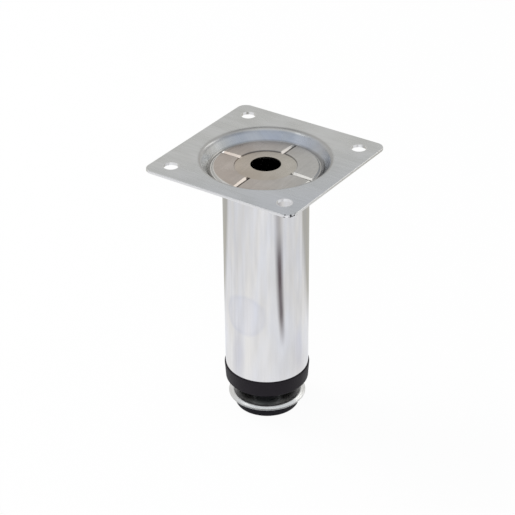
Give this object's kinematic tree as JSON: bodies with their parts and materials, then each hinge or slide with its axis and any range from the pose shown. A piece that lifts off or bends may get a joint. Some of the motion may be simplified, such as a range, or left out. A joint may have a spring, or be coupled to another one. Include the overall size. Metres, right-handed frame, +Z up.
{
  "type": "adjustable cabinet leg",
  "caption": "Chromed tubular furniture leg with a square dished fixing plate and a screw foot for levelling.",
  "frame": {"origin": "centre of the foot pad's underside, on the floor", "axes": "+Z up along the tube, towards the fixing plate; X and Y along the plate's sides"},
  "size_m": [0.06, 0.06, 0.1],
  "materials": {
    "chromed_steel": "bright chrome plating on drawn and pressed steel",
    "nickel_steel": "satin nickel plating, slightly warm",
    "zinc_steel": "bright zinc plating",
    "black_plastic": "moulded, fine satin",
    "pad_plastic": "moulded, fine satin"
  },
  "bodies": {
    "leg": {"mounting_plate": "chromed_steel", "top_disc": "nickel_steel", "tube": "chromed_steel", "end_plug": "black_plastic", "thread_nut": "zinc_steel"},
    "pad": {"foot_pad": "pad_plastic"},
    "screw": {"adjusting_stud": "zinc_steel", "foot_flange": "zinc_steel"}
  },
  "joints": [
    {"name": "foot_height", "type": "slide", "parent": "leg", "child": "pad", "axis": [0, 0, -1], "range_m": [-0.005, 0.015]},
    {"name": "foot_turn", "type": "hinge", "parent": "pad", "child": "screw", "pos_m": [0, 0, 0], "axis": [0, 0, -1], "range_deg": [-1200, 3600]}
  ],
  "couplings": [
    {"joint": "foot_turn", "follows": "foot_height", "rad_per_m": 4188.8}
  ]
}
